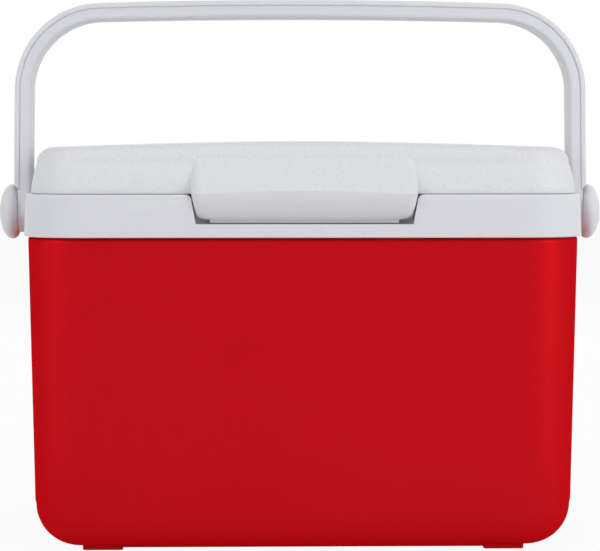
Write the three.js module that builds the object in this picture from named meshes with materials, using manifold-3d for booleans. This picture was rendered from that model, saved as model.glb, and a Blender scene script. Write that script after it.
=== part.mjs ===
// A personal cooler: an insulated red tub, a pale collar, a hinged lid with a pull tab, and a swinging bail.
// Millimetres, +Z up, the front faces -Y. The origin is on the ground, under the middle of the cooler.
import * as THREE from "three";
import { mergeVertices } from "three/addons/utils/BufferGeometryUtils.js";
import Module from "manifold-3d";

const wasm = await Module();
wasm.setup();

// Sizes shared by many pieces
const fit = 0.3; // gap between pieces that touch
const overrun = 1; // how far a cut runs past the face it opens
const cornerSteps = 6; // facets in each plan corner
const roundSteps = 24; // facets in a round boss or bore

// Outer shell
const shellHalfWidth = 153.4; // at the top edge
const shellHalfDepth = 104;
const shellCorner = 30;
const shellTaper = 3.6; // each side is this much narrower at the foot
const shellWall = 2.2;
const shellTopZ = 180.5;
const shellBottomRadius = 22.5;
const shellBottomSteps = 6;
const leastCorner = 2;

// Feet, moulded into the shell
const footHeight = 2.6;
const footWidth = 22.5;
const footDepth = 22;
const footCorner = 3;
const footChamfer = 0.8;
const footFromSide = 40.9; // from the shell's side at its top edge to the foot's middle
const footFromFront = 35; // the same from its front and back
const baseDrop = 1.15; // of the flat base between the feet, below the rounded bottom edge
const baseInset = 0.6; // of the base's sides from the feet's

// Liner and the insulation round it
const insulation = 12;
const linerWall = 1.8;
const linerCorner = 24;
const linerBottomRadius = 14;
const linerBottomSteps = 4;
const flangeWidth = 5;
const flangeThickness = 2;

// Collar
const skirtWall = 2;
const skirtBottomZ = 176.1;
const collarTopZ = 199.7;
const collarDraft = 1; // each side is this much narrower at the top
const collarEdge = 1.2; // rounding of its outer edges
const collarEdgeShares = [[0, 1], [0.33, 0.33], [1, 0]]; // its inset and drop, as shares of the rounding
const deckThickness = 2.2;

// Notch in the collar's front, and the pocket behind it
const notchTopHalfWidth = 61.6;
const notchFootHalfWidth = 59.5;
const notchFootZ = 183.5;
const notchRadius = 3.8;
const notchSteps = 4;
const pocketDepth = 8;
const pocketWall = 2.2;

// Lid
const lidGap = 0.4; // between the collar and the lid
const lidInset = 3.4; // of the lid's foot behind the collar's top edge
const lidHeight = 29.3; // at the middle of the crown
const lidCorner = 26;
const lidWall = 2.2;
const lidEdgeRadius = 10;
const lidEdgeSteps = 4;
const lidSideLean = 3; // inset of the side walls up to the rounded edge
const lidFrontLean = 6.5; // inset of the front and back walls
const lidMidLean = 0.33; // share of those insets at half the walls' height
const lidCrownX = 3.4; // fall of the top towards the ends
const lidCrownY = 0.9; // fall of the top towards the front and back
const lidCrownPower = 1.6; // how the fall grows from the middle
const lidCrownShares = [0.75, 0.5, 0.25]; // rings across the top, as shares of its half sizes

// Lid panel, with the plug that enters the liner
const panelWall = 1.8;
const plugDepth = 9;
const plugClearance = 1.5;
const plugEdge = 2;

// Pull tab and its latch hook
const tabTopRise = 5; // above where the lid's walls meet its rounded edge
const tabTopHalfWidth = 62.1;
const tabMidHalfWidth = 61.2;
const tabFootHalfWidth = 59;
const tabFootZ = 185.9;
const tabCorner = 4.7;
const tabReach = 3; // past the collar's front
const tabWall = 2.4;
const tabTuck = 4.2; // how far the lip curls back at its foot
const tabSteps = 5;
const hookHalfWidth = 51.8;
const hookWall = 1.8;
const hookGap = 0.8; // over the pocket's floor
const hookRise = 2.4; // how far the rib at the lip's foot reaches up into the lip

// Hinges
const hingeFromSide = 65.4; // from the shell's side to the knuckle's middle
const knuckleLength = 30;
const earLength = 8;
const knuckleRadius = 4;
const hingeReach = 1.4; // past the collar's back
const pinRadius = 1.6;
const pinClearance = 0.25;
const pinSteps = 16;

// Bail
const pivotZ = 187.8;
const bailReach = 113.2; // from the pivot to the underside of the bar
const bailCrown = 1.5; // fall of the bar from its middle to its corners
const bailThickness = 10.6; // at the middle of the bar
const bailEndShare = 0.5; // share of its extra thickness over the arms that is left at its ends
const armThickness = 9.8;
const eyeClearance = 1.5; // between the eye and the collar
const armOffset = 0.3; // from the eye's inner face to the arm's, at the foot of the corner
const armSplay = 1; // how far the arm stands further out at the pivot
const bailHalfWidth = 12; // at the outer rim
const bailInnerRadius = 41;
const rimThickness = 2.9;
const rimStep = 0.7; // how far the rim stands out from the web
const rimRounding = 1;
const rimRoundingSteps = 2;
const webRounding = 2.4;
const webRoundingSteps = 3;
const bailCornerSteps = 9;
const bailBarSteps = 5;
const eyeRadius = 12.3;
const eyeThickness = 9.1;

// Pivot buttons
const capRadius = 16.1;
const capEdge = 3.8; // height of the cap's rim
const capEdgeShares = [[1.2, 0], [0.4, 0.3]]; // the rim's inner rounding: inset and height, as shares of it
const capDome = 7.1; // height of the dome over the rim
const capSteps = 6;
const capSeatClearance = 0.6;
const shankRadius = 5.5;
const shankClearance = 0.25;
const bossWall = 3.2;
const bossLength = 6;
const barbReach = 1.1;
const barbLength = 2.6;
const slotWidth = 2;
const slotLength = 12;

// Heights and half sizes that follow from the ones above
const lidFootZ = collarTopZ + lidGap;
const lidTopZ = lidFootZ + lidHeight;
const lidEdgeZ = lidTopZ - lidEdgeRadius - lidCrownX; // where the lid's walls meet the rounded edge
const collarHalfWidth = shellHalfWidth + fit + skirtWall;
const collarHalfDepth = shellHalfDepth + fit + skirtWall;
const collarCorner = shellCorner + fit + skirtWall;
const linerHalfWidth = shellHalfWidth - shellWall - insulation; // outside of the liner
const linerHalfDepth = shellHalfDepth - shellWall - insulation;
const linerBottomZ = footHeight + shellWall + insulation;
const flangeHalfWidth = linerHalfWidth + flangeWidth;
const flangeHalfDepth = linerHalfDepth + flangeWidth;
const ledgeZ = collarTopZ - flangeThickness - fit;
const lidHalfWidth = collarHalfWidth - collarDraft - lidInset;
const lidHalfDepth = collarHalfDepth - collarDraft - lidInset;
const footMidX = shellHalfWidth - footFromSide;
const footMidY = shellHalfDepth - footFromFront;
const tabTopZ = lidEdgeZ + tabTopRise;
const tabFrontY = collarHalfDepth + tabReach;
const hingeMidX = shellHalfWidth - hingeFromSide;
const hingeY = collarHalfDepth + hingeReach - knuckleRadius;
const hingeZ = lidFootZ;
const eyeInnerX = collarHalfWidth + eyeClearance;
const eyeOuterX = eyeInnerX + eyeThickness;
const armInnerX = eyeInnerX + armOffset;
const armOuterX = armInnerX + armSplay + armThickness;
const capInnerX = eyeOuterX + fit;
const boreRadius = shankRadius + shankClearance;

// Materials
const plastic = (color, roughness) => new THREE.MeshStandardMaterial({ color, roughness, metalness: 0 });
const redShell = plastic(0xb8141c, 0.38);
const paleGloss = plastic(0xd3d4d8, 0.3);
const paleGrain = plastic(0xdcdde0, 0.6);
const paleLiner = plastic(0xe6e7ea, 0.4);
const foam = plastic(0xe9dfb4, 0.9);
const steel = new THREE.MeshStandardMaterial({ color: 0xb9bcc0, roughness: 0.3, metalness: 1 });

// A level ring of points round a rounded rectangle, anticlockwise seen from above.
// z is a height, or a function of x and y.
function ring(halfWidth, halfDepth, corner, z) {
  const radius = Math.min(corner, halfWidth, halfDepth);
  const points = [];
  for (let side = 0; side < 4; side++) {
    const signX = side === 0 || side === 3 ? 1 : -1;
    const signY = side < 2 ? 1 : -1;
    for (let step = 0; step <= cornerSteps; step++) {
      const angle = (side + step / cornerSteps) * (Math.PI / 2);
      const x = signX * (halfWidth - radius) + radius * Math.cos(angle);
      const y = signY * (halfDepth - radius) + radius * Math.sin(angle);
      points.push([x, y, typeof z === "function" ? z(x, y) : z]);
    }
  }
  return points;
}

// The middle of a ring, which closes a loft's end.
function middle(points) {
  const sum = points.reduce((total, p) => total.map((value, axis) => value + p[axis]), [0, 0, 0]);
  return sum.map((value) => value / points.length);
}

// A closed body over rings of equal count.
// An open row of rings is capped at both ends, and a closed row is joined end to end.
function loft(rings, closed = false) {
  const count = rings[0].length;
  const positions = rings.flat(2);
  const index = [];
  const bands = closed ? rings.length : rings.length - 1;
  for (let band = 0; band < bands; band++) {
    const low = band * count;
    const high = ((band + 1) % rings.length) * count;
    for (let i = 0; i < count; i++) {
      const next = (i + 1) % count;
      index.push(low + i, low + next, high + next, low + i, high + next, high + i);
    }
  }
  if (!closed) {
    const last = (rings.length - 1) * count;
    const foot = rings.length * count;
    const head = foot + 1;
    positions.push(...middle(rings[0]), ...middle(rings.at(-1)));
    for (let i = 0; i < count; i++) {
      const next = (i + 1) % count;
      index.push(foot, next, i, head, last + i, last + next);
    }
  }
  const geometry = new THREE.BufferGeometry();
  geometry.setAttribute("position", new THREE.Float32BufferAttribute(positions, 3));
  geometry.setIndex(index);
  return geometry;
}

// A geometry as a solid that can be cut and joined.
function solid(geometry) {
  const bare = geometry.clone();
  bare.deleteAttribute("normal");
  bare.deleteAttribute("uv");
  const merged = mergeVertices(bare);
  return new wasm.Manifold(
    new wasm.Mesh({
      numProp: 3,
      vertProperties: merged.attributes.position.array,
      triVerts: new Uint32Array(merged.index.array),
    }),
  );
}

// A solid back as a geometry.
function surface(body) {
  const mesh = body.getMesh();
  const geometry = new THREE.BufferGeometry();
  geometry.setAttribute("position", new THREE.BufferAttribute(mesh.vertProperties, 3));
  geometry.setIndex(new THREE.BufferAttribute(mesh.triVerts, 1));
  return geometry;
}

// A box between two corners.
function block(low, high) {
  const size = high.map((value, axis) => value - low[axis]);
  const box = new THREE.BoxGeometry(...size);
  return solid(box.translate(...high.map((value, axis) => (value + low[axis]) / 2)));
}

// A round bar along X from one place to another.
function barAlongX(radius, fromX, toX, y, z, steps = roundSteps) {
  const bar = new THREE.CylinderGeometry(radius, radius, Math.abs(toX - fromX), steps);
  return solid(bar.rotateZ(Math.PI / 2).translate((fromX + toX) / 2, y, z));
}

// An outline in X and Z, extruded along Y from the front to the back.
function prismAlongY(points, fromY, toY) {
  const outline = new THREE.Shape(points.map(([x, z]) => new THREE.Vector2(x, z)));
  const prism = new THREE.ExtrudeGeometry(outline, { depth: toY - fromY, bevelEnabled: false });
  return solid(prism.rotateX(Math.PI / 2).translate(0, toY, 0));
}

// An outline in Y and Z, extruded along X, centred on the middle plane.
function prismAlongX(points, halfWidth) {
  const outline = new THREE.Shape(points.map(([y, z]) => new THREE.Vector2(y, z)));
  const prism = new THREE.ExtrudeGeometry(outline, { depth: 2 * halfWidth, bevelEnabled: false });
  const turn = new THREE.Matrix4().makeBasis(
    new THREE.Vector3(0, 1, 0),
    new THREE.Vector3(0, 0, 1),
    new THREE.Vector3(1, 0, 0),
  );
  return solid(prism.applyMatrix4(turn).translate(-halfWidth, 0, 0));
}

// Points of an arc round a centre, ends included, angles in shares of a quarter turn.
function arc(centre, radius, fromQuarter, toQuarter, steps) {
  return Array.from({ length: steps + 1 }, (_, step) => {
    const angle = (fromQuarter + ((toQuarter - fromQuarter) * step) / steps) * (Math.PI / 2);
    return [centre[0] + radius * Math.cos(angle), centre[1] + radius * Math.sin(angle)];
  });
}

// How far the shell's wall leans in at a height.
function leanAt(z) {
  return (shellTaper * (shellTopZ - z)) / (shellTopZ - footHeight);
}

// The rings of a tub's wall from its flat bottom up to a height, with a rounded bottom edge.
function tubRings(halfWidth, halfDepth, corner, bottomZ, topZ, radius, steps) {
  const rings = [];
  for (let step = 0; step <= steps; step++) {
    const angle = (step / steps) * (Math.PI / 2);
    const z = bottomZ + radius * (1 - Math.cos(angle));
    const inset = leanAt(z) + radius * (1 - Math.sin(angle));
    const round = Math.max(corner - radius * (1 - Math.sin(angle)), leastCorner);
    rings.push(ring(halfWidth - inset, halfDepth - inset, round, z));
  }
  const lean = leanAt(topZ);
  rings.push(ring(halfWidth - lean, halfDepth - lean, corner, topZ));
  return rings;
}

// The red shell: a tapering tub with a flat base and four moulded feet.
function outerShell() {
  const outside = tubRings(
    shellHalfWidth, shellHalfDepth, shellCorner, footHeight, shellTopZ, shellBottomRadius, shellBottomSteps,
  );
  const inside = tubRings(
    shellHalfWidth - shellWall,
    shellHalfDepth - shellWall,
    shellCorner - shellWall,
    footHeight + shellWall,
    shellTopZ,
    shellBottomRadius - shellWall,
    shellBottomSteps,
  );
  let shell = solid(loft([...outside, ...inside.reverse()]));
  const baseWidth = footMidX + footWidth / 2 - baseInset;
  const baseDepth = footMidY + footDepth / 2 - baseInset;
  const base = loft([
    ring(baseWidth, baseDepth, footCorner, footHeight - baseDrop),
    ring(baseWidth, baseDepth, footCorner, footHeight + shellWall / 2),
  ]);
  shell = shell.add(solid(base));
  for (const signX of [-1, 1]) {
    for (const signY of [-1, 1]) {
      const foot = loft([
        ring(footWidth / 2 - footChamfer, footDepth / 2 - footChamfer, footCorner - footChamfer, 0),
        ring(footWidth / 2, footDepth / 2, footCorner, footChamfer),
        ring(footWidth / 2, footDepth / 2, footCorner, footHeight + shellWall / 2),
      ]);
      shell = shell.add(solid(foot.translate(signX * footMidX, signY * footMidY, 0)));
    }
  }
  return surface(shell);
}

// The insulation between shell and liner.
function bodyFoam() {
  const outside = tubRings(
    shellHalfWidth - shellWall - fit,
    shellHalfDepth - shellWall - fit,
    shellCorner - shellWall - fit,
    footHeight + shellWall + fit,
    shellTopZ - fit,
    shellBottomRadius - shellWall,
    linerBottomSteps,
  );
  const inside = tubRings(
    linerHalfWidth + fit,
    linerHalfDepth + fit,
    linerCorner + fit,
    linerBottomZ - fit,
    shellTopZ - fit,
    linerBottomRadius,
    linerBottomSteps,
  );
  return loft([...outside, ...inside.reverse()]);
}

// The liner: the food space, hung by its flange on the collar's ledge.
function innerLiner() {
  const outside = tubRings(
    linerHalfWidth,
    linerHalfDepth,
    linerCorner,
    linerBottomZ,
    shellTopZ,
    linerBottomRadius,
    linerBottomSteps,
  );
  const underFlangeZ = collarTopZ - flangeThickness;
  outside.push(
    ring(linerHalfWidth, linerHalfDepth, linerCorner, underFlangeZ),
    ring(flangeHalfWidth, flangeHalfDepth, linerCorner + flangeWidth, underFlangeZ),
    ring(flangeHalfWidth, flangeHalfDepth, linerCorner + flangeWidth, collarTopZ),
    ring(linerHalfWidth - linerWall, linerHalfDepth - linerWall, linerCorner - linerWall, collarTopZ),
  );
  const inside = tubRings(
    linerHalfWidth - linerWall,
    linerHalfDepth - linerWall,
    linerCorner - linerWall,
    linerBottomZ + linerWall,
    shellTopZ,
    linerBottomRadius - linerWall,
    linerBottomSteps,
  );
  return loft([...outside, ...inside.reverse()]);
}

// The outline of the notch in the collar's front: upright sides that flare out, round, at the top.
function notchOutline() {
  const topZ = collarTopZ + overrun;
  const centre = [notchTopHalfWidth + notchRadius, collarTopZ - notchRadius];
  const right = arc(centre, notchRadius, 2, 1, notchSteps);
  const half = [[notchFootHalfWidth, notchFootZ], ...right, [notchTopHalfWidth + notchRadius, topZ]];
  const mirrored = half.map(([x, z]) => [-x, z]).reverse();
  return [...half, ...mirrored];
}

// The ears that carry the lid's hinge pins.
function hingeEars() {
  const ears = [];
  for (const midX of [-hingeMidX, hingeMidX]) {
    for (const side of [-1, 1]) {
      const nearX = midX + side * (knuckleLength / 2 + fit);
      const farX = nearX + side * earLength;
      const round = barAlongX(knuckleRadius, nearX, farX, hingeY, hingeZ);
      const root = block(
        [Math.min(nearX, farX), hingeY - knuckleRadius, ledgeZ - deckThickness],
        [Math.max(nearX, farX), hingeY + knuckleRadius, hingeZ],
      );
      ears.push(round.add(root));
    }
  }
  return ears;
}

// The collar: a skirt over the shell's edge, a deck with a ledge for the liner, the latch pocket,
// the pivot bosses and the hinge ears.
function collarBody() {
  const at = (inset, z, corner = collarCorner - inset) =>
    ring(collarHalfWidth - inset, collarHalfDepth - inset, corner, z);
  const ledge = (reach, z) =>
    ring(linerHalfWidth + reach, linerHalfDepth + reach, linerCorner + reach, z);
  const shoulderZ = shellTopZ + fit;
  const underDeckZ = ledgeZ - deckThickness;
  const band = loft(
    [
      at(collarEdge / 2, skirtBottomZ),
      at(0, skirtBottomZ + collarEdge),
      ...collarEdgeShares.map(([inset, drop]) =>
        at(collarDraft + collarEdge * inset, collarTopZ - collarEdge * drop),
      ),
      ledge(flangeWidth + fit, collarTopZ),
      ledge(flangeWidth + fit, ledgeZ),
      ledge(fit, ledgeZ),
      ledge(fit, underDeckZ),
      at(skirtWall + fit + shellWall, underDeckZ),
      at(skirtWall + fit + shellWall, shoulderZ),
      at(skirtWall, shoulderZ),
      at(skirtWall, skirtBottomZ),
    ],
    true,
  );
  let body = solid(band);
  const pocketBackY = -(collarHalfDepth - pocketDepth);
  const skirtBackY = -(collarHalfDepth - skirtWall - fit);
  const pocketHalfWidth = notchTopHalfWidth + pocketWall;
  body = body.add(
    block(
      [-pocketHalfWidth, skirtBackY, notchFootZ - pocketWall],
      [pocketHalfWidth, pocketBackY + pocketWall, collarTopZ - deckThickness / 2],
    ),
  );
  body = body.subtract(prismAlongY(notchOutline(), -(collarHalfDepth + overrun), pocketBackY));
  for (const side of [-1, 1]) {
    const innerX = side * (shellHalfWidth - shellWall - bossLength);
    const outerX = side * (shellHalfWidth - shellWall / 2);
    const boss = barAlongX(boreRadius + bossWall, innerX, outerX, 0, pivotZ);
    const shelf = block(
      [Math.min(innerX, outerX), -eyeRadius, shoulderZ],
      [Math.max(innerX, outerX), eyeRadius, underDeckZ + deckThickness / 2],
    );
    body = body.add(boss.intersect(shelf));
    body = body.subtract(
      barAlongX(boreRadius, innerX - side * overrun, side * (collarHalfWidth + overrun), 0, pivotZ),
    );
  }
  for (const ear of hingeEars()) body = body.add(ear);
  for (const midX of [-hingeMidX, hingeMidX]) {
    const half = knuckleLength / 2 + fit;
    const reach = half + earLength + overrun;
    body = body.subtract(barAlongX(knuckleRadius + fit, midX - half, midX + half, hingeY, hingeZ));
    body = body.subtract(
      barAlongX(pinRadius + pinClearance, midX - reach, midX + reach, hingeY, hingeZ, pinSteps),
    );
  }
  return surface(body);
}

// How far the top's crown has fallen at a place.
function crownFall(x, y) {
  const shareX = Math.abs(x) / lidHalfWidth;
  const shareY = Math.abs(y) / lidHalfDepth;
  return lidCrownX * shareX ** lidCrownPower + lidCrownY * shareY ** lidCrownPower;
}

// A ring round the lid's walls at a height, set in by a thickness. They lean more above than below.
function lidWallRing(inset, z) {
  const share = (z - lidFootZ) / (lidEdgeZ - lidFootZ);
  const lean = share < 0.5 ? 2 * share * lidMidLean : 1 - 2 * (1 - share) * (1 - lidMidLean);
  return ring(
    lidHalfWidth - inset - lidSideLean * lean,
    lidHalfDepth - inset - lidFrontLean * lean,
    lidCorner - inset,
    z,
  );
}

// The rings of the lid's surface from its foot up and over to the middle, set in by a wall's thickness.
function lidRings(inset, footZ) {
  const top = (x, y) => lidTopZ - inset - crownFall(x, y);
  const wide = lidHalfWidth - inset - lidSideLean;
  const deep = lidHalfDepth - inset - lidFrontLean;
  const round = lidCorner - inset;
  const radius = lidEdgeRadius - inset;
  const rings = [lidWallRing(inset, footZ), lidWallRing(inset, (lidFootZ + lidEdgeZ) / 2)];
  for (let step = 0; step <= lidEdgeSteps; step++) {
    const angle = (step / lidEdgeSteps) * (Math.PI / 2);
    const roll = radius * (1 - Math.cos(angle));
    const z = (x, y) => lidEdgeZ + (top(x, y) - lidEdgeZ) * Math.sin(angle);
    rings.push(ring(wide - roll, deep - roll, round - roll, z));
  }
  for (const share of lidCrownShares) {
    rings.push(ring((wide - radius) * share, (deep - radius) * share, (round - radius) * share, top));
  }
  return rings;
}

// The side outline of the pull tab: a face that leaves the lid's slope, a crease,
// and a lip that curls back under.
function tabProfile() {
  const faceY = -tabFrontY;
  const lipHeight = lidFootZ - tabFootZ;
  const curl = (step, inset) => {
    const angle = (step / tabSteps) * (Math.PI / 2);
    const back = (tabTuck - inset * (tabTuck / lipHeight)) * (1 - Math.cos(angle));
    return [faceY + inset + back, lidFootZ - (lipHeight - inset / 2) * Math.sin(angle)];
  };
  const steps = Array.from({ length: tabSteps + 1 }, (_, step) => step);
  const outer = steps.map((step) => curl(step, 0));
  const inner = steps.map((step) => curl(step, tabWall)).reverse();
  const wallMidY = -(lidHalfDepth - lidWall / 2);
  return [
    ...outer,
    ...inner,
    [wallMidY, lidFootZ],
    [wallMidY + lidFrontLean, lidEdgeZ],
    [wallMidY + lidFrontLean + lidWall / 2, tabTopZ],
  ];
}

// The front outline of the pull tab, wide at the top and round at its lower corners.
function tabOutline() {
  const round = arc([tabFootHalfWidth - tabCorner, tabFootZ + tabCorner], tabCorner, -1, 0, tabSteps);
  const half = [...round, [tabMidHalfWidth, lidFootZ], [tabTopHalfWidth, tabTopZ]];
  const mirrored = half.map(([x, z]) => [-x, z]).reverse();
  return [...half, ...mirrored];
}

// The lid's cover: a crowned shell with the tab, the latch hook behind it, the rib at the lip's foot,
// and the hinge knuckles.
function lidCover() {
  const outside = lidRings(0, lidFootZ);
  const inside = lidRings(lidWall, lidFootZ);
  let cover = solid(loft([...inside.reverse(), ...outside]));
  const deepest = lidHalfDepth + tabFrontY;
  const tab = prismAlongX(tabProfile(), tabTopHalfWidth + overrun);
  cover = cover.add(tab.intersect(prismAlongY(tabOutline(), -deepest, 0)));
  const hookBackY = -(lidHalfDepth - lidWall);
  cover = cover.add(
    block(
      [-hookHalfWidth, hookBackY - hookWall, notchFootZ + hookGap],
      [hookHalfWidth, hookBackY, lidFootZ + lidWall],
    ),
  );
  const ribFrontY = tabTuck - tabFrontY;
  cover = cover.add(
    block(
      [-hookHalfWidth, ribFrontY, notchFootZ + hookGap],
      [hookHalfWidth, ribFrontY + hookWall, tabFootZ + hookRise],
    ),
  );
  for (const midX of [-hingeMidX, hingeMidX]) {
    const half = knuckleLength / 2;
    const reach = half + overrun;
    cover = cover.add(barAlongX(knuckleRadius, midX - half, midX + half, hingeY, hingeZ));
    cover = cover.add(
      block(
        [midX - half, lidHalfDepth - lidWall, lidFootZ],
        [midX + half, hingeY, lidFootZ + knuckleRadius],
      ),
    );
    cover = cover.subtract(
      barAlongX(pinRadius + pinClearance, midX - reach, midX + reach, hingeY, hingeZ, pinSteps),
    );
    for (const side of [-1, 1]) {
      const nearX = midX + side * half;
      const farX = nearX + side * (earLength + 2 * fit);
      cover = cover.subtract(barAlongX(knuckleRadius + fit, nearX, farX, hingeY, hingeZ));
    }
  }
  return surface(cover);
}

// The lid's panel: a tray that closes the cover from below and plugs the liner's mouth.
function lidPanel() {
  const plugWidth = linerHalfWidth - linerWall - plugClearance;
  const plugLong = linerHalfDepth - linerWall - plugClearance;
  const plugCorner = linerCorner - linerWall - plugClearance;
  const plugZ = lidFootZ - plugDepth;
  const at = (inset, z) => ring(plugWidth - inset, plugLong - inset, plugCorner - inset, z);
  return loft([
    at(plugEdge, plugZ),
    at(0, plugZ + plugEdge),
    at(0, lidFootZ),
    lidWallRing(lidWall + fit, lidFootZ),
    lidWallRing(lidWall + fit, lidFootZ + panelWall),
    at(panelWall, lidFootZ + panelWall),
    at(panelWall, plugZ + plugEdge + panelWall),
    at(panelWall + plugEdge, plugZ + panelWall),
  ]);
}

// The insulation inside the lid.
function lidFoam() {
  const plugInset = linerWall + plugClearance + panelWall + fit;
  const low = (inset, z) =>
    ring(
      linerHalfWidth - plugInset - inset,
      linerHalfDepth - plugInset - inset,
      linerCorner - plugInset - inset,
      z,
    );
  const floorZ = lidFootZ - plugDepth + panelWall + fit;
  const shelfZ = lidFootZ + panelWall + fit;
  const upper = lidRings(lidWall + fit, shelfZ);
  return loft([low(plugEdge, floorZ), low(0, floorZ + plugEdge), low(0, shelfZ), ...upper]);
}

// A hinge pin.
function hingePin() {
  const length = knuckleLength + 2 * (fit + earLength);
  return new THREE.CylinderGeometry(pinRadius, pinRadius, length, pinSteps).rotateZ(Math.PI / 2);
}

// The bail's section at a station: across is the depth, and out points away from the loop.
// It has a rim outside and a web inside.
function bailSection(thickness) {
  const webHalf = bailHalfWidth - rimStep;
  const rimZ = thickness - rimThickness;
  const right = [
    ...arc([webHalf - webRounding, webRounding], webRounding, -1, 0, webRoundingSteps),
    [webHalf, rimZ],
    [bailHalfWidth, rimZ],
    ...arc([bailHalfWidth - rimRounding, thickness - rimRounding], rimRounding, 0, 1, rimRoundingSteps),
  ];
  const left = right.map(([across, out]) => [-across, out]).reverse();
  return [...right, ...left];
}

// The stations of the bail from one pivot over to the other:
// a place on its inner line, the way out, and its thickness.
function bailStations() {
  const shoulderZ = pivotZ + bailReach - bailCrown - bailInnerRadius;
  const centreX = armInnerX - bailInnerRadius;
  const fall = (x) => bailCrown * (x / centreX) ** 2;
  const extra = bailThickness - armThickness;
  const half = [{ x: armInnerX + armSplay, z: pivotZ, angle: 0, thickness: armThickness }];
  for (let step = 0; step <= bailCornerSteps; step++) {
    const angle = (step / bailCornerSteps) * (Math.PI / 2);
    half.push({
      x: centreX + bailInnerRadius * Math.cos(angle),
      z: shoulderZ + bailInnerRadius * Math.sin(angle),
      angle,
      thickness: armThickness + extra * bailEndShare * Math.sin(angle) ** 2,
    });
  }
  for (let step = 1; step <= bailBarSteps; step++) {
    const x = centreX * (1 - step / bailBarSteps);
    const thickness = bailThickness - extra * (1 - bailEndShare) * (x / centreX) ** 2;
    half.push({ x, z: pivotZ + bailReach - fall(x), angle: Math.PI / 2, thickness });
  }
  const mirrored = half.slice(0, -1).reverse();
  return [...half, ...mirrored.map((s) => ({ ...s, x: -s.x, angle: Math.PI - s.angle }))];
}

// The bail: a strap swept round the loop, with an eye at each end that turns on a pivot button.
function bailHandle() {
  const rings = bailStations().map(({ x, z, angle, thickness }) =>
    bailSection(thickness).map(([across, out]) => [
      x + out * Math.cos(angle),
      across,
      z + out * Math.sin(angle),
    ]),
  );
  let bail = solid(loft(rings.map((points) => points.reverse())));
  for (const side of [-1, 1]) {
    bail = bail.add(barAlongX(eyeRadius, side * eyeInnerX, side * eyeOuterX, 0, pivotZ));
    const innerX = side * (eyeInnerX - overrun);
    const faceX = side * eyeOuterX;
    const outerX = side * (armOuterX + overrun);
    const seatZ = pivotZ + capRadius + capSeatClearance;
    bail = bail.subtract(
      block(
        [Math.min(faceX, outerX), -(bailHalfWidth + overrun), pivotZ - eyeRadius],
        [Math.max(faceX, outerX), bailHalfWidth + overrun, seatZ],
      ),
    );
    bail = bail.subtract(barAlongX(boreRadius, innerX, outerX, 0, pivotZ));
  }
  return surface(bail);
}

// A pivot button, its axis along +X from the middle of the cooler outwards:
// a domed cap and a split, barbed shank.
function pivotButton() {
  const bossInnerX = shellHalfWidth - shellWall - bossLength;
  const barbX = bossInnerX - fit;
  const tipX = barbX - barbLength;
  const rimX = capInnerX + capEdge;
  const dome = Array.from({ length: capSteps + 1 }, (_, step) => {
    const angle = (step / capSteps) * (Math.PI / 2);
    return [capRadius * Math.cos(angle), rimX + capDome * Math.sin(angle)];
  });
  dome[dome.length - 1][0] = 0;
  const profile = [
    [0, tipX],
    [shankRadius - barbReach / 2, tipX],
    [shankRadius + barbReach, barbX],
    [shankRadius, barbX],
    [shankRadius, capInnerX],
    ...capEdgeShares.map(([inset, height]) => [capRadius - capEdge * inset, capInnerX + capEdge * height]),
    ...dome,
  ];
  const lathe = new THREE.LatheGeometry(
    profile.map(([radius, x]) => new THREE.Vector2(radius, x)),
    roundSteps,
  );
  const button = solid(lathe.rotateZ(-Math.PI / 2));
  const slot = block(
    [tipX - overrun, -slotWidth / 2, -(shankRadius + barbReach + overrun)],
    [tipX + slotLength, slotWidth / 2, shankRadius + barbReach + overrun],
  );
  return surface(button.subtract(slot));
}

const cooler = new THREE.Group();

// Adds a named piece to the cooler.
function add(name, geometry, material) {
  const piece = new THREE.Mesh(geometry, material);
  piece.name = name;
  cooler.add(piece);
  return piece;
}

add("outer_shell", outerShell(), redShell);
add("body_foam", bodyFoam(), foam);
add("inner_liner", innerLiner(), paleLiner);
add("collar", collarBody(), paleGloss);
add("lid_cover", lidCover(), paleGrain);
add("lid_foam", lidFoam(), foam);
add("lid_panel", lidPanel(), paleLiner);
add("bail_handle", bailHandle(), paleGloss);

for (const [side, sign] of [["left", -1], ["right", 1]]) {
  add(`hinge_pin_${side}`, hingePin(), steel).position.set(sign * hingeMidX, hingeY, hingeZ);
  const button = add(`pivot_button_${side}`, pivotButton(), paleGloss);
  button.position.set(0, 0, pivotZ);
  button.rotation.z = sign > 0 ? 0 : Math.PI;
}

export default cooler;
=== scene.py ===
import math

import bmesh
import bpy
from mathutils import Matrix, Vector


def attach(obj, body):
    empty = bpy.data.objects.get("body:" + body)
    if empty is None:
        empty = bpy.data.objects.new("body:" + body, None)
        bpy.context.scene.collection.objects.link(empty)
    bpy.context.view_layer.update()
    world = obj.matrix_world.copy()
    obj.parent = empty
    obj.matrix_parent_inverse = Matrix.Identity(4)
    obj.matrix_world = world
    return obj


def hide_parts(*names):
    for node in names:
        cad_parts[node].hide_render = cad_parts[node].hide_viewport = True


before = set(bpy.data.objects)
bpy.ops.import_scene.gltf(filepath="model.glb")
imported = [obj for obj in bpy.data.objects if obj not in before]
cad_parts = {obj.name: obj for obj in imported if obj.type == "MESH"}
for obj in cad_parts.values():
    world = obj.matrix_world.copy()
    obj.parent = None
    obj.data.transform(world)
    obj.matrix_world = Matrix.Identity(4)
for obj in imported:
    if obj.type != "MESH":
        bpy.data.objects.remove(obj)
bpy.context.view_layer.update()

# Sizes are in millimetres, in the cooler's own frame: +Z up, the front faces -Y, the origin on
# the ground. A profile is a list of (inset from the outline, height).
MM = 0.001
NEAR = 0.01  # places closer than this are one
SHARP = 35  # degrees: edges sharper than this are softened
CORNER_STEPS = 14
GUARD = 2.0  # a narrow strip of faces beside each rounding keeps the flat beyond it flat

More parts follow.
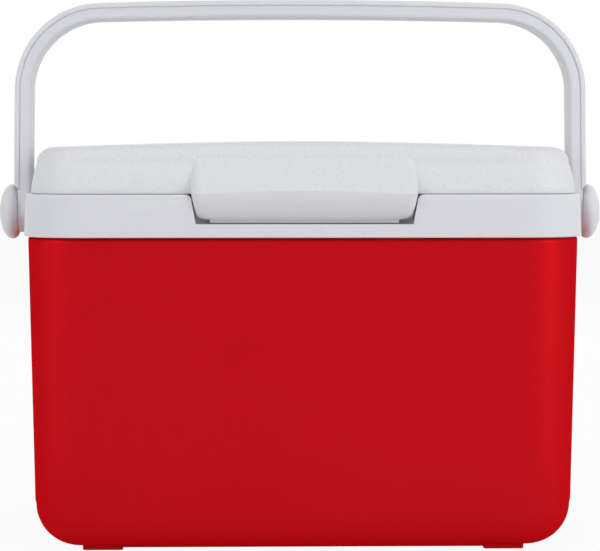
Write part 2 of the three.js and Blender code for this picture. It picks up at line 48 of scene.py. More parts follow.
SHELL = dict(half_width=153.6, half_depth=104, corner=30)
SHELL_TOP, SHELL_FOOT, SHELL_TAPER, SHELL_WALL, SHELL_ROUND = 180.5, 2.6, 3.6, 2.2, 23.8
SHELL_RINGS = (60, 120)  # heights of the rings in the plain wall
FOOT_X, FOOT_Y, FOOT_WIDTH, FOOT_DEPTH, FOOT_EDGE = 112.5, 69, 22.5, 22, 0.8
BASE_DROP, BASE_INSET, BASE_EDGE = 1.15, 0.6, 0.4  # the thicker plate that joins the feet

COLLAR = dict(half_width=155.7, half_depth=106.3, corner=32.3)
COLLAR_FOOT, COLLAR_TOP, COLLAR_DRAFT = 176.1, 199.7, 1.0
COLLAR_CURL, COLLAR_EDGE, COLLAR_WALL = 0.8, 1.3, 2.2  # foot's round, top's round, skirt
COLLAR_FACE = [(0.02, COLLAR_FOOT + 1.2), (0.1, COLLAR_FOOT + 3.5),
               (COLLAR_DRAFT - 0.05, COLLAR_TOP - 3)]
NECK_FOOT, NECK = COLLAR_FOOT - 1.2, 0.6  # the shell steps in here: a dark line under the collar
LEDGE, LEDGE_THICK = 197.4, 2.2  # the liner's flange rests on the ledge
DECK_INNER, DECK_UNDER, LEDGE_INNER = 11.2, 12, 16.2  # insets
NOTCH_TOP, NOTCH_BASE, NOTCH_FOOT, NOTCH_FLARE = 61.6, 59.5, 183.5, 3.8
NOTCH_REACH = 110  # the collar's front is cut no further out than this
POCKET_BACK = -97.3

LINER = dict(half_width=139.2, half_depth=89.8, corner=24)
LINER_FOOT, LINER_WALL, LINER_ROUND, FLANGE, FLANGE_THICK = 16.8, 1.8, 14, 5, 2

LID = dict(half_width=151.6, half_depth=101.9, corner=26)
LID_FOOT, LID_TOP, LID_EDGE, LID_WALL, LID_ROUND = 199.95, 229.3, 216.8, 2.2, 8.8
LID_SIDE_LEAN, LID_FRONT_LEAN, LID_LEAN_POWER = 3.0, 6.5, 1.6
LID_CROWN_X, LID_CROWN_Y, LID_CROWN_POWER = 3.7, 0.9, 1.6
LID_FRONT = -101.9
LID_ROWS = (0.06, 0.2, 0.35, 0.5, 0.65, 0.8, 0.92)  # shares of the wall's height
LID_GRID_X, LID_GRID_Y = range(-140, 141, 10), range(-90, 91, 10)  # lines that take the crown
PLATE = dict(half_width=149.1, half_depth=99.7, corner=23.8)
PLUG = dict(half_width=135.9, half_depth=86.5, corner=20.7)
PLUG_DROP, PLUG_ROUND = 6.5, 2.5

TAB_FRONT, TAB_FOOT, TAB_TUCK, TAB_WALL, TAB_ROUND, TAB_CURL = -109.3, 185.9, 6.5, 2.2, 5, 48
TAB_SIDE = [(185.9, 54.6), (186.4, 57), (187.2, 58.6), (188.7, 59.7), (192, 60.45),
            (195.5, 61.05), (200.1, 61.9), (223.5, 62.4)]  # half widths at heights
TAB_FACE = [(200.1, -109.3), (203, -107.5), (207.5, -104.2), (212.5, -100.3), (216.5, -97.2),
            (220.5, -94.5), (223.5, -92.7)]  # fronts at heights
TAB_ROWS = (0.4, 1.2, 2.4, 4.4, 6.4, 8.4, 10.4, 12.4, 14.4, 16.4, 18.4, 20.4, 22, 24.3)
TAB_COLUMNS = (0, 14, 28, 42)
FACE_BACK, LIP_BACK = LID_FRONT + 1.2, LID_FRONT + 0.5  # both end inside the lid's wall
CREASE, CREASE_BOW = 199.2, 2.0  # the crease at the tab's ends, and its rise at the middle
CREASE_FADE = 9  # the grained face's rows are level from this far above the crease
CURL_STEPS, CURL_INSIDE = 12, 9  # rows of the lip's outside, and how many its inside repeats
HOOK_HALF, HOOK_WALL, HOOK_GAP = 51.8, 1.8, 0.8
RIB_GAP, RIB_LEAN = 0.45, 0.6

HINGE_X, HINGE_Y, HINGE_Z, HINGE_EDGE = 88, 103.7, 200.1, 0.5
KNUCKLE, KNUCKLE_RADIUS, EAR, EAR_GAP = 30, 4, 8, 0.3
# The blocks that carry the barrels, each between two (Y, Z)
EAR_BLOCK = (HINGE_Y - KNUCKLE_RADIUS, LEDGE - 5), (HINGE_Y + 3.9, HINGE_Z)
KNUCKLE_BLOCK = (99.8, LID_FOOT + 0.2), (HINGE_Y + 1, LID_FOOT + 3.9)
PIN_RADIUS, PIN_HALF, PIN_EDGE = 1.6, 23.3, 0.3

PIVOT_Z = 187.8
EYE_INNER, EYE_OUTER, EYE_RADIUS = 157.2, 166.3, 12.3
EYE_BACK_RADIUS, EYE_BACK_DEPTH = 11, 4  # the round of the eye that faces the collar
ARM_INNER, ARM_THICK, ARM_SPLAY = 157.5, 9.8, 1.0
BAR_UNDER, BAR_THICK, BAR_CROWN, BAR_PARTS = 301.0, 10.6, 1.5, 16
BAIL_HALF, BAIL_INNER, BAIL_STEPS = 12, 41, 20
WEB_HALF, RIM, RIM_GAP = 11.3, 2.9, 0.25
WEB_THICK = ARM_THICK - RIM + 0.1  # the web enters the rim a little
CAP_RADIUS, CAP_EDGE, CAP_DOME, CAP_NECK, CAP_GAP = 16.1, 3.8, 7.35, 12.6, 0.05
CAP_ROWS = (0, 0.06, 0.23, 0.5, 0.9, 1.4, 2.0, 2.6, 3.2, CAP_EDGE)
SHANK = [(0, 142.3), (4.9, 142.3), (6.6, 144.9), (5.5, 145.1)]  # radius and X, barb included


# Tools for making meshes


def lean_at(z):
    """How far the shell's wall leans in at a height."""
    return SHELL_TAPER * (SHELL_TOP - z) / (SHELL_TOP - SHELL_FOOT)


def quarter(steps):
    """The angles of a quarter turn, ends included."""
    return [math.radians(90 * i / steps) for i in range(steps + 1)]


def arc(centre, radius, start, end, steps):
    """Points of an arc, angles in degrees, ends included."""
    turns = [math.radians(start + (end - start) * i / steps) for i in range(steps + 1)]
    return [(centre[0] + radius * math.cos(t), centre[1] + radius * math.sin(t)) for t in turns]


def foot_round(low, foot, radius, steps):
    """The part of a profile that rounds from a flat base, which starts at an inset, to a wall."""
    return [(low - radius * math.sin(a), foot + radius * (1 - math.cos(a))) for a in quarter(steps)]


def only(geometry, kind):
    return [g for g in geometry if isinstance(g, kind)]


def extend(bm, edges, move):
    """Extrudes a chain of edges, moves the new end, and returns its edges."""
    made = bmesh.ops.extrude_edge_only(bm, edges=edges)["geom"]
    bmesh.ops.translate(bm, verts=only(made, bmesh.types.BMVert), vec=move)
    return only(made, bmesh.types.BMEdge)


def spin(bm, edges, centre, axis, angle, steps):
    """Spins a chain of edges about an axis and returns the far end's edges."""
    verts = dict.fromkeys(v for e in edges for v in e.verts)
    made = bmesh.ops.spin(
        bm, geom=[*verts, *edges], cent=centre, axis=axis, angle=angle, steps=steps,
        use_merge=False,
    )
    return only(made["geom_last"], bmesh.types.BMEdge)


def chain(bm, points, closed=False):
    """A few points joined into a chain of edges."""
    verts = [bm.verts.new(p) for p in points]
    pairs = list(zip(verts, verts[1:])) + ([(verts[-1], verts[0])] if closed else [])
    return [bm.edges.new(pair) for pair in pairs]


def loft(rows):
    """A skin through closed rows of points, each row extruded from the one before."""
    bm = bmesh.new()
    number = bm.verts.layers.int.new("number")
    edges = chain(bm, rows[0], closed=True)
    for k, v in enumerate(bm.verts):
        v[number] = k
    for row in rows[1:]:
        made = bmesh.ops.extrude_edge_only(bm, edges=edges)["geom"]
        for v in only(made, bmesh.types.BMVert):
            v.co = row[v[number]]
        edges = only(made, bmesh.types.BMEdge)
    return bm


def carry_round(profile, half_width, half_depth, corner, closed=False):
    """A wall whose profile is carried from the middle of the front round a rounded rectangle."""
    bm = bmesh.new()
    edges = chain(bm, [(0, inset - half_depth, z) for inset, z in profile], closed)
    wide, deep = half_width - corner, half_depth - corner

    def run(edges, way, length):
        for part in (GUARD, length - 2 * GUARD, GUARD):
            edges = extend(bm, edges, Vector(way) * part)
        return edges

    sides = [((1, 0, 0), wide), ((0, 1, 0), 2 * deep)]
    sides += [((-1, 0, 0), 2 * wide), ((0, -1, 0), 2 * deep)]
    corners = [(wide, -deep), (wide, deep), (-wide, deep), (-wide, -deep)]
    for (way, length), (x, y) in zip(sides, corners):
        edges = run(edges, way, length)
        edges = spin(bm, edges, (x, y, 0), (0, 0, 1), math.pi / 2, CORNER_STEPS)
    run(edges, (1, 0, 0), wide)
    bmesh.ops.remove_doubles(bm, verts=bm.verts, dist=NEAR)
    return bm


def close(bm, guard=GUARD):
    """Fills each open rim with a face, and sets a guard strip inside it."""
    rims = [e for e in bm.edges if len(e.link_faces) == 1]
    faces = bmesh.ops.holes_fill(bm, edges=rims, sides=0)["faces"]
    if guard:
        bmesh.ops.inset_individual(bm, faces=faces, thickness=guard)
    bmesh.ops.recalc_face_normals(bm, faces=bm.faces)
    return bm


def join(bm, *others):
    """Adds other meshes to one."""
    for other in others:
        mesh = bpy.data.meshes.new("part")
        other.to_mesh(mesh)
        other.free()
        bm.from_mesh(mesh)
        bpy.data.meshes.remove(mesh)
    return bm


def rounded_block(low, high, edge, segments=3):
    """A block between two corners with every edge rounded."""
    bm = bmesh.new()
    low, high = Vector(low), Vector(high)
    bmesh.ops.create_cube(bm, size=1)
    bmesh.ops.scale(bm, vec=high - low, verts=bm.verts)
    bmesh.ops.translate(bm, vec=(low + high) / 2, verts=bm.verts)
    bmesh.ops.bevel(
        bm, geom=bm.edges[:], offset=edge, segments=segments, profile=0.5,
        affect="EDGES", material=-1,
    )
    return bm


def barrel(radius, from_x, to_x, y, z, edge=0.5, steps=32):
    """A round bar along X with rounded ends."""
    bm = bmesh.new()
    bmesh.ops.create_cone(
        bm, cap_ends=True, segments=steps, radius1=radius, radius2=radius, depth=abs(to_x - from_x)
    )
    rims = [e for e in bm.edges if abs(e.verts[0].co.z - e.verts[1].co.z) < NEAR]
    bmesh.ops.bevel(
        bm, geom=rims, offset=edge, segments=3, profile=0.5, affect="EDGES", material=-1
    )
    upright_to_x = Matrix.Rotation(math.pi / 2, 3, "Y")
    bmesh.ops.rotate(bm, verts=bm.verts, cent=(0, 0, 0), matrix=upright_to_x)
    bmesh.ops.translate(bm, verts=bm.verts, vec=((from_x + to_x) / 2, y, z))
    return bm


def cut(bm, point, normal, faces=None):
    """Adds an edge line where a plane meets the faces."""
    faces = bm.faces[:] if faces is None else faces
    edges = dict.fromkeys(e for f in faces for e in f.edges)
    verts = dict.fromkeys(v for f in faces for v in f.verts)
    bmesh.ops.bisect_plane(
        bm, geom=[*verts, *edges, *faces], dist=0.0005, plane_co=point, plane_no=normal
    )


def piece(name, bm, body, nodes, finish, soften=0.0, segments=3):
    """A finished piece: in metres, smooth, softened, riding on its body in place of its nodes."""
    bmesh.ops.scale(bm, vec=(MM,) * 3, verts=bm.verts)
    for face in bm.faces:
        face.smooth = True
    mesh = bpy.data.meshes.new(name)
    bm.to_mesh(mesh)
    bm.free()
    mesh.materials.append(finish)
    made = bpy.data.objects.new(name, mesh)
    bpy.context.scene.collection.objects.link(made)
    if soften:
        edge = made.modifiers.new("softened edges", "BEVEL")
        edge.width = soften * MM
        edge.segments = segments
        edge.limit_method = "ANGLE"
        edge.angle_limit = math.radians(SHARP)
        edge.harden_normals = True
    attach(made, body)
    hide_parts(*nodes)


# Finishes. Their scales and distances are in metres.


class Value:
    """A number that a finish works out, so that sums on it read as sums."""

    def __init__(self, nodes, socket):
        self.nodes, self.socket = nodes, socket

    def _sum(self, operation, *values):
        return self.nodes.node("ShaderNodeMath", {"operation": operation}, dict(enumerate(values)))

    def __radd__(self, other):
        return self._sum("ADD", other, self)

    def __sub__(self, other):
        return self._sum("SUBTRACT", self, other)

    def __rsub__(self, other):
        return self._sum("SUBTRACT", other, self)

    def __rmul__(self, other):
        return self._sum("MULTIPLY", other, self)

    def greatest(self, other):
        return self._sum("MAXIMUM", self, other)

    def beside(self, output):
        """Another output of the same node."""
        return Value(self.nodes, self.socket.node.outputs[output])


class Nodes:
    """A node tree, filled through one method."""

    def __init__(self, owner):
        owner.use_nodes = True
        self.tree = owner.node_tree
        self.tree.nodes.clear()

    def node(self, kind, settings=None, sockets=None, output=0):
        made = self.tree.nodes.new(kind)
        for key, value in (settings or {}).items():
            setattr(made, key, value)
        for key, value in (sockets or {}).items():
            if isinstance(value, Value):
                self.tree.links.new(value.socket, made.inputs[key])
            else:
                made.inputs[key].default_value = value
        return Value(self, made.outputs[output]) if made.outputs else made


class Finish(Nodes):
    """One moulded, foamed or metal finish, as a material."""

    def __init__(self, name, **shader):
        self.material = bpy.data.materials.new(name)
        super().__init__(self.material)
        self.place = self.node("ShaderNodeTexCoord", output="Object")
        constants = {socket.replace("_", " "): value for socket, value in shader.items()}
        self.shader = self.node("ShaderNodeBsdfPrincipled", sockets=constants)
        self.node("ShaderNodeOutputMaterial", sockets={"Surface": self.shader})

    def set(self, **sockets):
        """Leads worked-out values to the shader's sockets."""
        inputs = self.shader.socket.node.inputs
        for key, value in sockets.items():
            self.tree.links.new(value.socket, inputs[key.replace("_", " ")])

    def mapped(self, scale):
        """The place on the object, drawn out along its axes."""
        return self.node("ShaderNodeMapping", {}, {"Vector": self.place, "Scale": scale})

    def noise(self, scale, detail, place=None):
        return self.node(
            "ShaderNodeTexNoise",
            sockets={
                "Vector": place or self.place, "Scale": scale, "Detail": detail, "Roughness": 0.5,
            },
        )

    def between(self, share, low, high):
        """A colour between two colours."""
        sockets = {0: share, 6: (*low, 1), 7: (*high, 1)}
        return self.node("ShaderNodeMix", {"data_type": "RGBA"}, sockets, output=2)

    def bump(self, height, distance, strength=1.0, under=None):
        sockets = {"Height": height, "Distance": distance, "Strength": strength}
        if under:
            sockets["Normal"] = under
        return self.node("ShaderNodeBump", sockets=sockets)


def moulded(name, deep, light, roughness, **shader):
    """Smooth moulded plastic: a colour that drifts a little, and a faint ripple in the gloss."""
    finish = Finish(name, IOR=1.5, **shader)
    drift = finish.noise(9.0, 3.0)
    haze = finish.noise(60.0, 4.0)
    finish.set(Base_Color=finish.between(drift, deep, light))
    finish.set(Roughness=roughness - 0.05 + 0.1 * haze)
    ripple = finish.bump(finish.noise(70.0, 2.0), 0.00004, 0.6)
    finish.set(Normal=finish.bump(finish.noise(1500.0, 1.0), 0.00001, 0.5, under=ripple))
    return finish.material


def leather_grain_and_crease_shade(name, deep, light, roughness):
    """Plastic with a fine leather grain moulded in: pebbles parted by thin creases; its colour is
    darker down in the creases, painted crease shade over the real bump.
    """
    finish = Finish(name, IOR=1.48)
    drawn = finish.mapped((2.3, 1.2, 1.1))
    stray = finish.node(
        "ShaderNodeTexNoise", sockets={"Vector": drawn, "Scale": 420.0, "Detail": 2.0}, output=1
    )
    warp = finish.node(
        "ShaderNodeMix", {"data_type": "VECTOR"}, {0: 0.0014, 4: drawn, 5: stray}, output=1
    )
    pebble = finish.node(
        "ShaderNodeTexVoronoi",
        {"feature": "SMOOTH_F1"},
        {"Vector": warp, "Scale": 640.0, "Smoothness": 0.4},
    )
    height = 1.0 - pebble
    # Painted shade: the colour is darker down in the grain's creases and lighter on the pebbles'
    # tops.
    finish.set(Base_Color=finish.between(height, deep, light))
    finish.set(Roughness=roughness + 0.12 * finish.noise(300.0, 3.0) - 0.06)
    finish.set(Normal=finish.bump(height, 0.00022, 0.55))
    return finish.material


def blown_foam(name):
    finish = Finish(name, Specular_IOR_Level=0.2)
    cells = finish.node("ShaderNodeTexVoronoi", {}, {"Vector": finish.place, "Scale": 900.0})
    finish.set(Base_Color=finish.between(cells, (0.86, 0.78, 0.5), (0.93, 0.88, 0.68)))
    finish.set(Roughness=0.8 + 0.15 * cells, Normal=finish.bump(cells, 0.0002))
    return finish.material


def drawn_steel(name):
    finish = Finish(name, Metallic=1.0)
    lines = finish.noise(1.0, 3.0, place=finish.mapped((20.0, 1500.0, 1500.0)))
    finish.set(Base_Color=finish.between(lines, (0.5, 0.51, 0.53), (0.68, 0.69, 0.71)))
    finish.set(Roughness=0.25 + 0.2 * lines, Normal=finish.bump(lines, 0.00001))
    return finish.material


red_plastic = moulded(
    "red satin plastic", (0.518, 0.0058, 0.0094), (0.54, 0.0076, 0.0118), 0.5,
    Metallic=0.4, Specular_IOR_Level=0, Specular_Tint=(1, 0.16, 0.1, 1),
)
pale_plastic = moulded(
    "pale smooth plastic", (0.684, 0.682, 0.71), (0.716, 0.714, 0.738), 0.4,
    Specular_IOR_Level=0.15,
)
liner_plastic = moulded("white liner plastic", (0.7, 0.71, 0.73), (0.75, 0.76, 0.775), 0.3)
# The lid's darker colour is painted shade in the grain's creases; the grain's relief itself is the
# bump.
grained_plastic_and_crease_shade = leather_grain_and_crease_shade(
    "pale grained plastic, painted crease shade", (0.65, 0.652, 0.675), (0.745, 0.747, 0.768), 0.55
)
foam = blown_foam("blown foam")
steel = drawn_steel("drawn steel")


# The tub


def red_shell():
    """The tapering tub: outside, rim and inside in one profile, on four moulded feet."""
    low = SHELL_TAPER + SHELL_ROUND
    outer = foot_round(low, SHELL_FOOT, SHELL_ROUND, 14)
    inner = foot_round(low, SHELL_FOOT + SHELL_WALL, SHELL_ROUND - SHELL_WALL, 6)
    wall = [SHELL_FOOT + SHELL_ROUND + GUARD, *SHELL_RINGS, NECK_FOOT - GUARD, NECK_FOOT]
    neck = [NECK_FOOT + NECK / 2, COLLAR_FOOT, SHELL_TOP - 0.5, SHELL_TOP]
    profile = outer + [(lean_at(z), z) for z in wall] + [(lean_at(z) + NECK, z) for z in neck]
    profile += [(lean_at(z) + SHELL_WALL, z) for z in reversed(wall + neck[1:])]
    profile += reversed(inner)
    bm = close(carry_round(profile, **SHELL))
    wide, deep = FOOT_WIDTH / 2, FOOT_DEPTH / 2
    base_x, base_y = FOOT_X + wide - BASE_INSET, FOOT_Y + deep - BASE_INSET
    top = SHELL_FOOT + SHELL_WALL / 2
    low, high = (-base_x, -base_y, SHELL_FOOT - BASE_DROP), (base_x, base_y, top)
    join(bm, rounded_block(low, high, BASE_EDGE))
    for x in (-FOOT_X, FOOT_X):
        for y in (-FOOT_Y, FOOT_Y):
            low, high = (x - wide, y - deep, 0), (x + wide, y + deep, top)
            join(bm, rounded_block(low, high, FOOT_EDGE))
    return bm


def liner():
    """The food space, with the flange that hangs it on the collar."""
    low = lean_at(LINER_FOOT) + LINER_ROUND
    outer = foot_round(low, LINER_FOOT, LINER_ROUND, 5)
    inner = foot_round(low, LINER_FOOT + LINER_WALL, LINER_ROUND - LINER_WALL, 10)
    top, flange = COLLAR_TOP, COLLAR_TOP - FLANGE_THICK
    profile = outer + [(0, SHELL_TOP), (0, flange), (-FLANGE, flange), (-FLANGE, top)]
    profile += [(1.2, top), (1.65, top - 0.3), (LINER_WALL, top - 0.9), (LINER_WALL, SHELL_TOP)]
    z = LINER_FOOT + LINER_ROUND + GUARD
    profile += [(LINER_WALL + lean_at(z), z), *reversed(inner)]
    return close(carry_round(profile, **LINER))


def notch_half():
    """The right side of the notch in the collar's front, from its foot up to the flared top."""
    flare = arc((NOTCH_TOP + NOTCH_FLARE, COLLAR_TOP - NOTCH_FLARE), NOTCH_FLARE, 180, 90, 6)
    return [(NOTCH_BASE, NOTCH_FOOT), *flare]


def in_notch(x, z):
    """Whether a place on the collar's front lies in the notch."""
    side = notch_half()
    if z < NOTCH_FOOT:
        return False
    for (x0, z0), (x1, z1) in zip(side, side[1:]):
        if z <= z1:
            return abs(x) < x0 + (x1 - x0) * (z - z0) / (z1 - z0)
    return abs(x) < side[-1][0]


def add_hinge_part(bm, start, end, base, top):
    """Adds a barrel on the hinge's axis, and the block that carries it, between two (Y, Z)."""
    block = rounded_block((start, *base), (end, *top), HINGE_EDGE)
    join(bm, barrel(KNUCKLE_RADIUS, start, end, HINGE_Y, HINGE_Z), block)


def collar():
    """The pale band: a ring with the notch and its pocket in the front, and hinge ears behind."""
    top, foot = COLLAR_TOP, COLLAR_FOOT
    under, shoulder = LEDGE - LEDGE_THICK, SHELL_TOP + 0.3
    profile = [(2.0, foot), *arc((COLLAR_CURL, foot + COLLAR_CURL), COLLAR_CURL, 270, 180, 5)]
    profile += COLLAR_FACE
    profile += arc((COLLAR_DRAFT + COLLAR_EDGE, top - COLLAR_EDGE), COLLAR_EDGE, 180, 90, 4)
    profile += [(DECK_INNER, top), (DECK_INNER, LEDGE), (LEDGE_INNER, LEDGE), (LEDGE_INNER, under)]
    profile += [(DECK_UNDER, under), (DECK_UNDER, shoulder)]
    profile += [(COLLAR_WALL, shoulder), (COLLAR_WALL, foot + 0.6)]
    bm = carry_round(profile, **COLLAR, closed=True)
    bmesh.ops.recalc_face_normals(bm, faces=bm.faces)

    def skin():
        """The outer and upper faces of the front, above the curl at its foot."""
        middles = [(f, f.calc_center_median()) for f in bm.faces]
        return [f for f, m in middles
                if m.y < POCKET_BACK + 4 and abs(m.x) < NOTCH_REACH and m.z > foot + 1.9
                and (f.normal.y < -0.5 or f.normal.z > 0.3)]

    side = notch_half()
    for sign in (-1, 1):
        for (x0, z0), (x1, z1) in zip(side, side[1:]):
            cut(bm, (sign * x0, 0, z0), (sign * (z1 - z0), 0, x0 - x1), skin())
    cut(bm, (0, 0, NOTCH_FOOT), (0, 0, 1), skin())
    cut(bm, (0, POCKET_BACK, 0), (0, 1, 0), skin())
    middle = {f: f.calc_center_median() for f in skin()}
    inside = [f for f, m in middle.items() if in_notch(m.x, m.z) and m.y < POCKET_BACK]
    bmesh.ops.delete(bm, geom=inside, context="FACES")
    rim = [e for e in bm.edges if len(e.link_faces) == 1]
    lip = [e for e in rim if min(v.co.z for v in e.verts) < top - NEAR]
    made = bmesh.ops.extrude_edge_only(bm, edges=lip)["geom"]
    for v in only(made, bmesh.types.BMVert):
        v.co.y = POCKET_BACK
    bmesh.ops.remove_doubles(bm, verts=bm.verts, dist=NEAR)
    close(bm, guard=0)
    for x in (-HINGE_X, HINGE_X):
        for sign in (-1, 1):
            near = x + sign * (KNUCKLE / 2 + EAR_GAP)
            start, end = sorted((near, near + sign * EAR))
            add_hinge_part(bm, start, end, *EAR_BLOCK)
    return bm


# The lid


def lid_lean(z):
    """Share of the lid's lean at a height: it leans more above than below."""
    return min(1.0, max(0.0, (z - LID_FOOT) / (LID_EDGE - LID_FOOT))) ** LID_LEAN_POWER


def crown(v):
    """Leans the lid's front and back walls, and lowers its top towards the ends."""
    v.co.y *= 1 - lid_lean(v.co.z) * (LID_FRONT_LEAN - LID_SIDE_LEAN) / LID["half_depth"]
    fall = LID_CROWN_X * (abs(v.co.x) / LID["half_width"]) ** LID_CROWN_POWER
    fall += LID_CROWN_Y * (abs(v.co.y) / LID["half_depth"]) ** LID_CROWN_POWER
    v.co.z -= fall * max(0.0, v.co.z - LID_EDGE) / (LID_TOP - LID_EDGE)


def along(table, z):
    """A value at a height, from a table of (height, value), evenly between its entries."""
    if z <= table[0][0]:
        return table[0][1]
    for (z0, a), (z1, b) in zip(table, table[1:]):
        if z <= z1:
            return a + (b - a) * (z - z0) / (z1 - z0)
    return table[-1][1]


def tab_row(z, front, inset, bow, back):
    """A row round the tab's front and sides. With a bow of 1 it rises as the crease does."""
    half = along(TAB_SIDE, z) - inset
    front += inset
    radius = TAB_ROUND - inset
    right = arc((half - radius, front + radius), radius, -90, 0, 8)
    outer = [(x, front) for x in TAB_COLUMNS] + right
    outer += [(half, max(back - 1.0, front + radius + 0.1)), (half, back)]
    ring = outer + [(-x, y) for x, y in reversed(outer[1:])]
    return [(x, y, z + bow * CREASE_BOW * (1 - (x / half) ** 2)) for x, y in ring]


def tab_face():
    """The grained part of the pull tab, which leaves the lid's slope and ends at the crease."""
    rows = [tab_row(CREASE, TAB_FRONT, 0.5, 1.0, FACE_BACK)]
    rows += [tab_row(CREASE + 0.1, TAB_FRONT, 0.12, 1.0, FACE_BACK)]
    for up in TAB_ROWS:
        z = CREASE + up
        behind = FACE_BACK + lid_lean(z) * LID_FRONT_LEAN + max(0, z - LID_EDGE) * 0.5
        rows.append(tab_row(z, along(TAB_FACE, z), 0.0, max(0.0, 1 - up / CREASE_FADE), behind))
    return close(loft(rows), guard=0)


def pull_lip():
    """The smooth lip below the crease: it curls back at its foot and round its ends."""
    turn = math.radians(TAB_CURL)
    drop, tuck = (CREASE - TAB_FOOT) / math.sin(turn), TAB_TUCK / (1 - math.cos(turn))

    def curl(step, inset):
        angle = turn * step / CURL_STEPS
        z, front = CREASE - drop * math.sin(angle), TAB_FRONT + tuck * (1 - math.cos(angle))
        return tab_row(z, front, inset, 1 - step / CURL_STEPS, LIP_BACK)

    rows = [curl(step, 0.0) for step in range(CURL_STEPS, -1, -1)]
    for up, inset in ((0.15, 0.15), (0.2, 0.6), (0.2, TAB_WALL)):
        rows.append(tab_row(CREASE + up, TAB_FRONT, inset, 1.0, LIP_BACK))
    rows += [curl(step, TAB_WALL) for step in range(CURL_INSIDE)]
    tucked = TAB_FRONT + TAB_TUCK
    rows += [tab_row(TAB_FOOT + 1.2, tucked - 0.8, TAB_WALL, 0.0, LIP_BACK)]
    rows += [tab_row(TAB_FOOT + 0.2, tucked, 0.7, 0.0, LIP_BACK)]
    return close(loft(rows), guard=0)


def latch_hook():
    """The wall behind the tab that catches in the pocket."""
    back = LID_FRONT + LID_WALL
    low = (-HOOK_HALF, back - HOOK_WALL, NOTCH_FOOT + HOOK_GAP)
    high = (HOOK_HALF, back + 0.1, LID_FOOT + 2.2)
    return rounded_block(low, high, 0.35, 2)


def lip_rib():
    """The rib along the lip's foot, between its round corners. Its face turns a little down."""
    front = TAB_FRONT + TAB_TUCK - 0.2
    low, top = (-HOOK_HALF, front, NOTCH_FOOT + RIB_GAP), TAB_FOOT + 1.6
    bm = rounded_block(low, (HOOK_HALF, front + HOOK_WALL, top), 0.3, 2)
    for v in bm.verts:
        v.co.y += (top - v.co.z) * RIB_LEAN
    return bm


def lid_cover():
    """The crowned lid with its tab's face, latch hook and hinge knuckles."""
    ceiling = LID_TOP - LID_WALL
    inner_round = LID_ROUND - LID_WALL
    turns = quarter(10)

    def wall(inset, share):
        z = LID_FOOT + (LID_EDGE - LID_FOOT) * share
        return inset + LID_SIDE_LEAN * lid_lean(z), z

    inside = [(LID_SIDE_LEAN + LID_WALL + inner_round * (1 - math.cos(t)),
               LID_EDGE + (ceiling - LID_EDGE) * math.sin(t)) for t in turns[::2]]
    outside = [(LID_SIDE_LEAN + LID_ROUND * (1 - math.cos(t)),
                LID_EDGE + (LID_TOP - LID_EDGE) * math.sin(t)) for t in turns]
    profile = inside[::-1] + [wall(LID_WALL, share) for share in reversed(LID_ROWS)]
    profile += [(LID_WALL, LID_FOOT + 0.3), (LID_WALL - 0.3, LID_FOOT)]
    profile += [(0.5, LID_FOOT), (0.14, LID_FOOT + 0.14)]
    profile += [wall(0, share) for share in LID_ROWS] + outside
    bm = close(carry_round(profile, **LID), guard=1.2)
    for x in LID_GRID_X:
        cut(bm, (x, 0, 0), (1, 0, 0))
    for y in LID_GRID_Y:
        cut(bm, (0, y, 0), (0, 1, 0))
    for v in bm.verts:
        crown(v)
    join(bm, tab_face(), latch_hook())
    for x in (-HINGE_X, HINGE_X):
        add_hinge_part(bm, x - KNUCKLE / 2, x + KNUCKLE / 2, *KNUCKLE_BLOCK)
    return bm


def lid_panel():
    """The tray that closes the lid from below, with the plug that enters the liner."""
    foot, drop = LID_FOOT, LID_FOOT - PLUG_DROP
    plate = [(2, foot + 1.8), (0.3, foot + 1.8), (0.3, foot + 0.3), (0.6, foot), (2.9, foot)]
    bm = close(carry_round(plate, **PLATE), guard=0)
    plug = [(4, foot + 1), (0, foot + 1), *arc((PLUG_ROUND, drop), PLUG_ROUND, 180, 270, 5)]
    return join(bm, close(carry_round(plug, **PLUG)))


# The bail


def band(half, low, high, inner_round, outer_round):
    """A flat band's section, as (across, out) points with rounded corners."""
    points = arc((half - inner_round, low + inner_round), inner_round, 270, 360, 6)
    points += arc((half - outer_round, high - outer_round), outer_round, 0, 90, 5)
    return points + [(-across, out) for across, out in reversed(points)]


def strap(section, heights):
    """A section swept up one arm from the first height, round both corners, and down again."""
    bm = bmesh.new()
    shoulder = BAR_UNDER - BAR_CROWN - BAIL_INNER
    turn = ARM_INNER - BAIL_INNER
    rises = [high - low for low, high in zip(heights, [*heights[1:], shoulder])]
    start = [(-ARM_INNER - out, across, heights[0]) for across, out in section]
    edges = chain(bm, start, closed=True)
    for rise in rises:
        edges = extend(bm, edges, (0, 0, rise))
    edges = spin(bm, edges, (-turn, 0, shoulder), (0, 1, 0), math.pi / 2, BAIL_STEPS)
    for _ in range(BAR_PARTS):
        edges = extend(bm, edges, (2 * turn / BAR_PARTS, 0, 0))
    edges = spin(bm, edges, (turn, 0, shoulder), (0, 1, 0), math.pi / 2, BAIL_STEPS)
    for rise in reversed(rises):
        edges = extend(bm, edges, (0, 0, -rise))
    close(bm, guard=0)
    swell = (BAR_THICK - ARM_THICK) / ARM_THICK / 2
    for v in bm.verts:
        if abs(v.co.x) <= turn:
            lift = 1 - (v.co.x / turn) ** 2
            v.co.z += lift * BAR_CROWN + (1 + lift) * swell * (v.co.z - shoulder - BAIL_INNER)
        elif v.co.z > shoulder:
            arm = Vector((abs(v.co.x) - turn, v.co.z - shoulder))
            grown = (arm.length - BAIL_INNER) * swell * (arm.y / arm.length) ** 2 / arm.length
            v.co.x += math.copysign(arm.x * grown, v.co.x)
            v.co.z += arm.y * grown
        else:
            down = (shoulder - v.co.z) / (shoulder - PIVOT_Z)
            v.co.x += math.copysign(ARM_SPLAY * down, v.co.x)
    return bm


